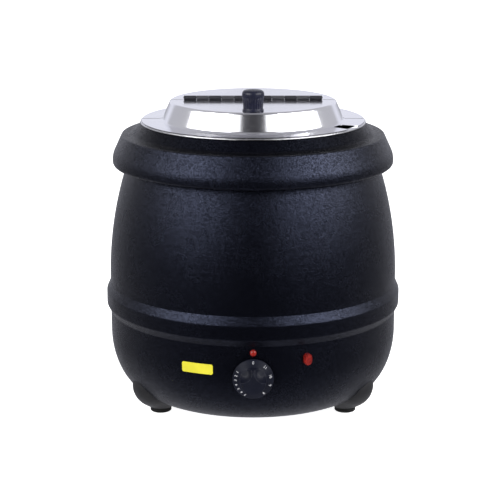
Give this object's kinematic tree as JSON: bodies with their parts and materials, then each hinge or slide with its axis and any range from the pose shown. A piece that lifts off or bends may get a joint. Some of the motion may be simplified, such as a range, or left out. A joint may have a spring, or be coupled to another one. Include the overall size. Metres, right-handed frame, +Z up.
{
  "type": "soup kettle",
  "caption": "Round electric soup kettle with a black barrel-shaped water-bath body, a loose collar, a lift-out pot and a hinged two-part polished lid.",
  "frame": {"origin": "centre of the kettle's outline at the table, level with the undersides of its foot pads", "axes": "+Z up, -Y out of the front where the dial is, +X to the right as seen from the front"},
  "size_m": [0.34, 0.3692, 0.3726],
  "materials": {
    "black_coat": "black powder coat with a fine leather-like grain, satin",
    "leg_plastic": "moulded, matt black",
    "foot_rubber": "matt black",
    "zinc_steel": "zinc plated",
    "plate_steel": "galvanised sheet",
    "pan_steel": "spun sheet, satin",
    "element_sheath": "heat-darkened steel sheath",
    "thermostat_plastic": "heat-proof moulding",
    "copper_tube": "drawn tube",
    "shaft_steel": "turned",
    "dial_plastic": "moulded, satin black, white numerals",
    "red_lens": "translucent red lens",
    "lamp_plastic": "heat-proof moulding",
    "brass": "turned",
    "gland_nylon": "moulded, black",
    "badge_yellow": "plain yellow plate, no lettering",
    "pot_steel": "deep-drawn stainless steel, satin",
    "lid_steel": "mirror-polished stainless steel",
    "hinge_steel": "stainless steel, brushed",
    "knob_plastic": "moulded, navy black"
  },
  "bodies": {
    "kettle": {"bowl": "black_coat", "base_plate": "plate_steel", "base_plate_screws": "zinc_steel", "left_leg": "leg_plastic", "right_leg": "leg_plastic", "rear_leg": "leg_plastic", "left_foot_pad": "foot_rubber", "right_foot_pad": "foot_rubber", "rear_foot_pad": "foot_rubber", "foot_screws": "zinc_steel", "foot_nuts": "zinc_steel", "belt_band": "black_coat", "barrel_shell": "black_coat", "water_pan": "pan_steel", "heating_element": "element_sheath", "element_clamp": "plate_steel", "clamp_nut": "zinc_steel", "thermostat": "thermostat_plastic", "thermostat_bracket": "plate_steel", "thermostat_screws": "zinc_steel", "capillary_tube": "copper_tube", "sensing_bulb": "copper_tube", "bulb_clip": "plate_steel", "front_lamp_lens": "red_lens", "front_lamp_holder": "lamp_plastic", "side_lamp_lens": "red_lens", "side_lamp_holder": "lamp_plastic", "terminal_block": "lamp_plastic", "earth_stud": "brass", "cord_gland": "gland_nylon", "gland_nut": "gland_nylon", "badge": "badge_yellow"},
    "dial": {"thermostat_shaft": "shaft_steel", "dial_knob": "dial_plastic"},
    "collar_ring": {"collar": "black_coat", "collar_seat_ring": "plate_steel"},
    "pot": {"soup_pot": "pot_steel"},
    "lid": {"rear_lid": "lid_steel", "rear_hinge_leaf": "hinge_steel", "hinge_pin": "shaft_steel"},
    "lid_flap": {"front_lid": "lid_steel", "front_hinge_leaf": "hinge_steel", "lid_knob": "knob_plastic", "knob_screw": "zinc_steel", "knob_washer": "zinc_steel"}
  },
  "joints": [
    {"name": "dial_turn", "type": "hinge", "parent": "kettle", "child": "dial", "pos_m": [0, -0.17, 0.0725], "axis": [0, 1, 0], "range_deg": [0, 297]},
    {"name": "collar_lift", "type": "slide", "parent": "kettle", "child": "collar_ring", "axis": [0, 0, 1], "range_m": [0, 0.06]},
    {"name": "pot_lift", "type": "slide", "parent": "collar_ring", "child": "pot", "axis": [0, 0, 1], "range_m": [0, 0.245]},
    {"name": "lid_lift", "type": "slide", "parent": "pot", "child": "lid", "axis": [0, 0, 1], "range_m": [0, 0.08]},
    {"name": "flap_hinge", "type": "hinge", "parent": "lid", "child": "lid_flap", "pos_m": [0, 0, 0.3517], "axis": [-1, 0, 0], "range_deg": [0, 163]}
  ]
}
